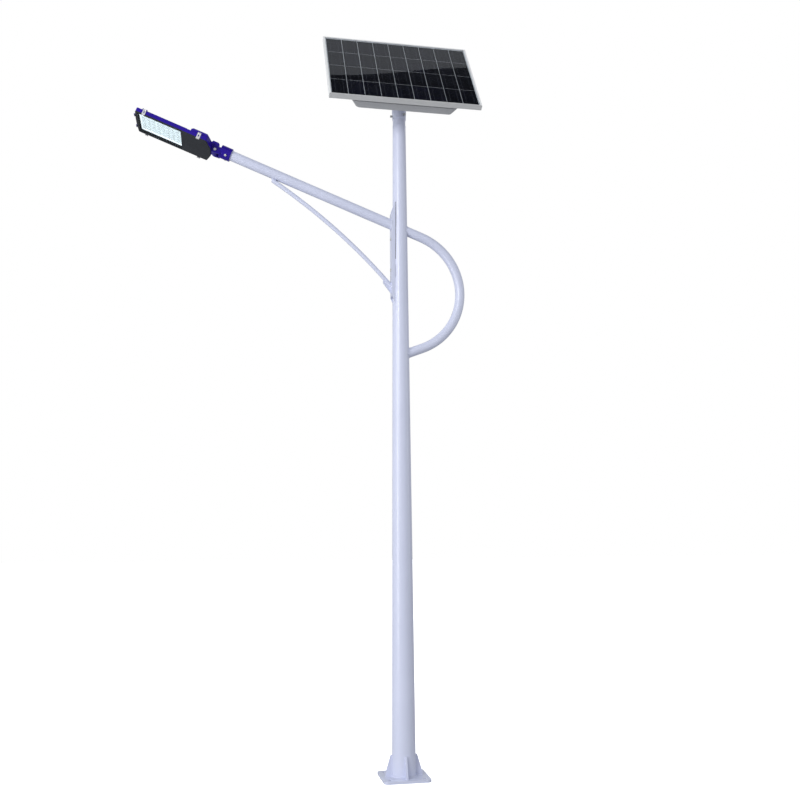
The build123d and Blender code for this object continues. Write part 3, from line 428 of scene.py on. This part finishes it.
def silicon():
    """Dark monocrystalline silicon with printed fingers and busbars. The tint differs between cells."""
    cell = Finish("silicon", (0.003, 0.004, 0.009), 0.3, specular_ior_level=0.04)
    flat = cell.turned(-PANEL_TILT, (1, 0, 0), PANEL_CENTRE)
    middle = cell.node("VectorMath", i0=flat, i1=-PANEL_CENTRE).outputs[0]
    along = cell.node("SeparateXYZ", Vector=middle).outputs
    column = cell.maths("DIVIDE", along[0], CELL_FIELD[0] / CELL_COLUMNS)
    column = cell.maths("ADD", column, CELL_COLUMNS / 2 % 1)
    row = cell.maths("DIVIDE", along[1], CELL_FIELD[1] / CELL_ROWS)
    number = cell.node("CombineXYZ", X=cell.maths("FLOOR", column), Y=cell.maths("FLOOR", row)).outputs[0]
    chance = cell.node("TexWhiteNoise", Vector=number).outputs["Value"]
    tone = cell.blend(chance, (0.0022, 0.0026, 0.0050), (0.0048, 0.0050, 0.0150))
    tone = cell.blend(cell.span(cell.noise(9.0, detail=2.0), 0.3, 0.7), tone, (0.0030, 0.0036, 0.0085))
    from_finger = cell.maths("FRACT", cell.maths("DIVIDE", along[1], FINGER_PITCH))
    finger = cell.maths("LESS_THAN", from_finger, FINGER_SHARE)
    tone = cell.blend(finger, tone, (0.020, 0.022, 0.030))
    across = cell.maths("FRACT", cell.maths("MULTIPLY", column, BUSBARS))
    from_busbar = cell.maths("ABSOLUTE", cell.maths("SUBTRACT", across, 0.5))
    busbar = cell.maths("LESS_THAN", from_busbar, BUSBAR_HALF_SHARE)
    cell.drive("Base Color", cell.blend(busbar, tone, (0.06, 0.065, 0.08)))
    cell.drive("Roughness", cell.span(cell.noise(300.0, detail=2.0), 0.3, 0.7, 0.2, 0.32))
    return cell.material


def moulded(name, colour, shade, roughness, grain=900.0, depth=0.00008):
    """Moulded plastic or rubber with a fine spark-eroded grain."""
    skin = Finish(name, colour, roughness)
    skin.drive("Base Color", skin.blend(skin.span(skin.noise(24.0), 0.3, 0.7), colour, shade))
    spots = skin.noise(grain * 0.3)
    skin.drive("Roughness", skin.span(spots, 0.3, 0.7, roughness - 0.06, roughness + 0.08))
    skin.bump(skin.cells(grain), distance=depth, strength=0.5)
    return skin.material


def cast_paint(name, colour, shade, roughness, **constants):
    """Paint over a die casting: the casting's soft ripple shows through the gloss."""
    paint = Finish(name, colour, roughness, **constants)
    clouds = paint.span(paint.noise(10.0, detail=4.0), 0.3, 0.7)
    paint.drive("Base Color", paint.blend(clouds, colour, shade))
    spots = paint.noise(120.0)
    paint.drive("Roughness", paint.span(spots, 0.3, 0.7, roughness - 0.05, roughness + 0.07))
    paint.bump(paint.noise(700.0, detail=2.0), distance=0.00012, strength=0.4)
    paint.bump(paint.noise(60.0, detail=2.0), distance=0.0006, strength=0.15)
    return paint.material


def glowing(name, colour, strength, roughness):
    """The lit diodes, and the white parts round them, whose faint glow is painted light."""
    board = Finish(name, colour, roughness, emission_color=(*colour, 1), emission_strength=strength)
    speck = board.span(board.noise(60.0), 0.3, 0.7)
    board.drive("Base Color", board.blend(speck, colour, darker(colour, 0.9)))
    board.bump(board.noise(500.0, detail=2.0), distance=0.00006, strength=0.3)
    return board.material


def finishes():
    """The material of each of the record's slots, and the panel's lowest rail darkened as painted shade."""
    return {
        "pole_paint": powder_coat("pole_paint", (0.64, 0.67, 0.83), (0.61, 0.64, 0.80), roughness=0.34,
                                  grime=0.16, coat_weight=0.3, coat_roughness=0.22),
        "box_shell": powder_coat("grey_sheet", (0.44, 0.445, 0.46), (0.40, 0.405, 0.42), roughness=0.5,
                                 grime=0.25),
        "lamp_blue": cast_paint("lamp_blue", (0.022, 0.006, 0.30), (0.016, 0.004, 0.24), roughness=0.3,
                                specular_ior_level=0.14, coat_weight=0.12, coat_roughness=0.1),
        "cover_black": cast_paint("cover_black", (0.017, 0.021, 0.028), (0.013, 0.016, 0.022),
                                  roughness=0.5, specular_ior_level=0.3),
        "plated_steel": plated_steel(),
        "stainless": stainless(),
        "frame_aluminium": anodised("anodised_aluminium", bright=0.96),
        # painted shade: the frame's aluminium, darker, for the panel's lowest rail, whose faces look down
        "painted_shade_rail": anodised("painted_shade_aluminium", bright=0.60),
        "solar_cell": silicon(),
        "panel_glass": cover_glass("panel_glass", (0.97, 0.98, 0.98), haze=0.003, roughness=0.008),
        "window_glass": cover_glass("window_glass", (0.97, 0.99, 1.0), haze=0.03, roughness=0.02),
        "lens_clear": cover_glass("lens_clear", (0.96, 0.98, 0.98), haze=0.3, roughness=0.05),
        # the white board and the tray round it glow faintly: painted light that brightens the lamp's window
        "board_white": glowing("board_white", (0.84, 0.90, 0.92), strength=0.95, roughness=0.4),
        "led_phosphor": glowing("led_phosphor", (0.42, 0.46, 0.30), strength=0.25, roughness=0.5),
        "white_sheet": moulded("backsheet", (0.76, 0.78, 0.83), (0.70, 0.72, 0.78), roughness=0.6,
                               grain=1500.0),
        "black_plastic": moulded("black_plastic", (0.018, 0.018, 0.02), (0.028, 0.028, 0.03),
                                 roughness=0.45),
        "black_rubber": moulded("black_rubber", (0.012, 0.012, 0.012), (0.02, 0.02, 0.02),
                                roughness=0.62, grain=1400.0),
        "cell_wrap": moulded("cell_wrap", (0.02, 0.16, 0.42), (0.02, 0.12, 0.34), roughness=0.28,
                             grain=300.0, depth=0.00003),
        "circuit_board": moulded("circuit_board", (0.01, 0.09, 0.03), (0.015, 0.12, 0.04), roughness=0.3,
                                 grain=1800.0),
        "controller_case": moulded("controller_case", (0.02, 0.07, 0.2), (0.03, 0.09, 0.24),
                                   roughness=0.42),
        "driver_case": moulded("driver_case", (0.55, 0.56, 0.58), (0.48, 0.49, 0.51), roughness=0.38,
                               grain=700.0),
    }


def dress_nodes():
    """Gives every CAD node the finish of its material slot. The panel's lowest rail gets painted shade."""
    slots = {part["node"]: part["material_slot"] for part in frame["record"]["subparts"]}
    # the lowest rail takes the darker aluminium, which is painted shade
    slots["frame_bottom"] = "painted_shade_rail"
    for name, node in frame["nodes"].items():
        if not node.material_slots:
            node.data.materials.append(None)
        for slot in node.material_slots:
            slot.link = "OBJECT"
            slot.material = ready[slots[name]]


# ------------------------------------------------------------------ places on the pole and the arm
def pole_radius(z):
    """The tapered pole's outer radius at a height."""
    return POLE_FOOT_R + (POLE_HEAD_R - POLE_FOOT_R) * (z - FLANGE_TOP) / (POLE_TOP - FLANGE_TOP)


def skin_x(z, y):
    """The pole's skin at a height and a distance across: how far it is along X."""
    return math.sqrt(pole_radius(z) ** 2 - y ** 2)


def in_pole(point):
    return math.hypot(point.x, point.y) < pole_radius(point.z)


def past_web(point):
    return point.x > WEB_X


def on_arm(s, w, u):
    """A point in the arm's own directions, in the frame."""
    return ARM_START + ARM_ALONG * s + ARM_ACROSS * w + ARM_UP * u


# ------------------------------------------------------------------ routes, beads and pieces
def steps_round(radius):
    """How many bead steps go round a circle."""
    return round(2 * math.pi * radius / BEAD_STEP)


def ring_points(centre, axis, radius, count):
    """Points round an axis, evenly spaced."""
    side = axis.orthogonal().normalized()
    up = axis.cross(side).normalized()
    turns = [2 * math.pi * index / count for index in range(count)]
    return [centre + (side * math.cos(turn) + up * math.sin(turn)) * radius for turn in turns]


def meeting_line(start, along, radius, span, inside):
    """The closed line where the skin of a round tube enters another piece, found by halving."""
    route = []
    for skin in ring_points(start, along, radius, steps_round(radius * MEETING_STRETCH)):
        near, far = 0.0, span
        for _ in range(HALVINGS):
            middle = (near + far) / 2
            if inside(skin + along * middle):
                far = middle
            else:
                near = middle
        route.append(skin + along * near)
    return route


def straight_run(start, end):
    """Points about one bead step apart, from start to end."""
    count = max(2, round((end - start).length / BEAD_STEP))
    return [start.lerp(end, index / count) for index in range(count + 1)]


def bridge(mesh, rings, closed):
    """Adds the faces between each ring of points and the next, and from the last to the first if closed."""
    pairs = list(zip(rings, rings[1:])) + ([(rings[-1], rings[0])] if closed else [])
    for ring, following in pairs:
        for index in range(len(ring)):
            other = (index + 1) % len(ring)
            mesh.faces.new((ring[index], ring[other], following[other], following[index]))


def lay_bead(mesh, route, radius, axis, closed=False):
    """Adds a rippled bead along a route. The axis is any direction that the route never takes."""
    rings = []
    for index, point in enumerate(route):
        before = route[index - 1] if closed or index else point
        after = route[(index + 1) % len(route)] if closed or index + 1 < len(route) else point
        heading = (after - before).normalized()
        side = heading.cross(axis).normalized()
        up = side.cross(heading)
        swell = 1 + BEAD_SWELL * math.cos(2 * math.pi * index / BEAD_RIPPLE)
        if not closed:
            from_end = min(index, len(route) - 1 - index)
            swell *= math.sqrt(min(1.0, (from_end + END_STEPS) * BEAD_STEP / radius))
        turns = [2 * math.pi * corner / BEAD_SIDES for corner in range(BEAD_SIDES)]
        offsets = [(side * math.cos(turn) + up * math.sin(turn)) * radius * swell for turn in turns]
        rings.append([mesh.verts.new(point + offset) for offset in offsets])
    bridge(mesh, rings, closed)
    if not closed:
        mesh.faces.new(reversed(rings[0]))
        mesh.faces.new(rings[-1])


def finish_piece(name, mesh, slot, body, smooth=True):
    """Turns a bmesh into a piece with its slot's finish, riding on its body."""
    bmesh.ops.recalc_face_normals(mesh, faces=mesh.faces)
    data = bpy.data.meshes.new(name)
    mesh.to_mesh(data)
    mesh.free()
    for face in data.polygons:
        face.use_smooth = smooth
    data.materials.append(ready[slot])
    piece = bpy.data.objects.new(name, data)
    bpy.context.scene.collection.objects.link(piece)
    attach(piece, body)


# ------------------------------------------------------------------ welds, beads of painted shade and the lamp's tray
def foot_welds():
    """Fillet beads round the pole's foot, along both sides of each gusset and up the pole beside it."""
    mesh = bmesh.new()
    foot = Vector((0, 0, FLANGE_TOP + FOOT_BEAD_LIFT))
    ring = ring_points(foot, UP, POLE_FOOT_R + FOOT_BEAD_LIFT, steps_round(POLE_FOOT_R))
    lay_bead(mesh, ring, BEAD_R["foot"], UP, closed=True)
    for quarter in range(4):
        turn = Matrix.Rotation(math.radians(90 * quarter), 3, "Z")
        for side in (-1, 1):
            edge = side * (GUSSET_HALF_T + GUSSET_BEAD_LIFT)
            low = [Vector((x, edge, FLANGE_TOP)) for x in (POLE_FOOT_R, GUSSET_REACH)]
            heights = (FLANGE_TOP + GUSSET_BEAD_START, GUSSET_TOP)
            high = [Vector((skin_x(z, edge), edge, z)) for z in heights]
            for ends, axis in ((low, UP), (high, turn @ Vector((0, 1, 0)))):
                run = [turn @ point for point in straight_run(*ends)]
                lay_bead(mesh, run, BEAD_R["gusset"], axis)
    finish_piece("foot_welds", mesh, "pole_paint", "mast")


def loop_welds():
    """A bead round each end of the loop, where its tube enters the pole."""
    mesh = bmesh.new()
    for side in (1, -1):
        start = Vector((math.sin(ARM_ANGLE), 0, side * math.cos(ARM_ANGLE))) * LOOP_R + UP * LOOP_MIDDLE_Z
        along = Vector((-math.cos(ARM_ANGLE), 0, side * math.sin(ARM_ANGLE)))
        span = (start.x - LOOP_LEG_END_X) / math.cos(ARM_ANGLE)
        ring = meeting_line(start, along, LOOP_TUBE_R, span, in_pole)
        lay_bead(mesh, ring, BEAD_R["loop"], along, closed=True)
    finish_piece("loop_welds", mesh, "pole_paint", "mast")


def arm_welds():
    """Beads round the arm's root and the brace's foot on the bracket's web, and along the brace's head."""
    mesh = bmesh.new()
    ring = meeting_line(on_arm(ARM_ROOT_S, 0, 0), -ARM_ALONG, ARM_R, ARM_ROOT_S, past_web)
    lay_bead(mesh, ring, BEAD_R["arm"], ARM_ALONG, closed=True)
    chord = BRACE_FOOT - BRACE_HEAD
    slope = math.atan2(-chord.z, chord.x) + 2 * math.atan(2 * BRACE_BOW / chord.length)
    down = Vector((math.cos(slope), 0, -math.sin(slope)))
    ring = meeting_line(BRACE_FOOT - down * BRACE_FOOT_S, down, BRACE_R, BRACE_FOOT_S, past_web)
    lay_bead(mesh, ring, BEAD_R["brace"], down, closed=True)
    for side in (-1, 1):
        ends = [on_arm(BRACE_CROTCH_S + s, side * w, u - ARM_R) for s, w, u in CROTCH_BEAD]
        lay_bead(mesh, straight_run(*ends), BEAD_R["crotch"], ARM_UP)
    finish_piece("arm_welds", mesh, "pole_paint", "mast")


def head_weld():
    """The bead that joins the tapered pole to its spigot."""
    mesh = bmesh.new()
    ring = ring_points(Vector((0, 0, POLE_TOP)), UP, SPIGOT_R, steps_round(POLE_HEAD_R))
    lay_bead(mesh, ring, BEAD_R["head"], UP, closed=True)
    finish_piece("head_weld", mesh, "pole_paint", "mast")


def painted_shade_beads():
    """Dark beads high in the seams between the bracket and the pole, and in the brace's crotch: painted shade."""
    mesh = bmesh.new()
    for side in (-1, 1):
        ends = [Vector((-skin_x(z, CHEEK_Y), side * (CHEEK_Y + SHADE_BEAD_LIFT), z)) for z in SHADE_BEAD_Z]
        lay_bead(mesh, straight_run(*ends), BEAD_R["cheek_shade"], Vector((0, 1, 0)))
    s, half_w, u = CROTCH_SHADE_BEAD
    ends = [on_arm(BRACE_CROTCH_S + s, w, u - ARM_R) for w in (-half_w, half_w)]
    lay_bead(mesh, straight_run(*ends), BEAD_R["crotch_shade"], ARM_UP)
    finish_piece("painted_shade_beads", mesh, "black_rubber", "mast")


def rounded_outline(end_inset, side_inset, u, radius):
    """A rounded rectangle inside the window's outline, at one height over the arm's line."""
    low = WINDOW_S[0] + end_inset + radius
    high = WINDOW_S[1] - end_inset - radius
    side = WINDOW_HALF_W - side_inset - radius
    points = []
    for quarter, (s, w) in enumerate(((high, side), (low, side), (low, -side), (high, -side))):
        for step in range(CORNER_STEPS + 1):
            turn = math.pi / 2 * (quarter + step / CORNER_STEPS)
            points.append(on_arm(s + radius * math.cos(turn), w + radius * math.sin(turn), u))
    return points


def light_tray():
    """The white sloped frame between the diode board's edges and the cover's ledge, glowing with the board's
    painted light.
    """
    mesh = bmesh.new()
    below = [rounded_outline(*edge) for edge in TRAY_EDGES]
    above = [[point + ARM_UP * TRAY_T for point in ring] for ring in reversed(below)]
    bridge(mesh, [[mesh.verts.new(point) for point in ring] for ring in below + above], closed=True)
    finish_piece("light_tray", mesh, "board_white", "lamp_head", smooth=False)


make_camera()
studio()
ready = finishes()
dress_nodes()
foot_welds()
loop_welds()
arm_welds()
head_weld()
painted_shade_beads()
light_tray()
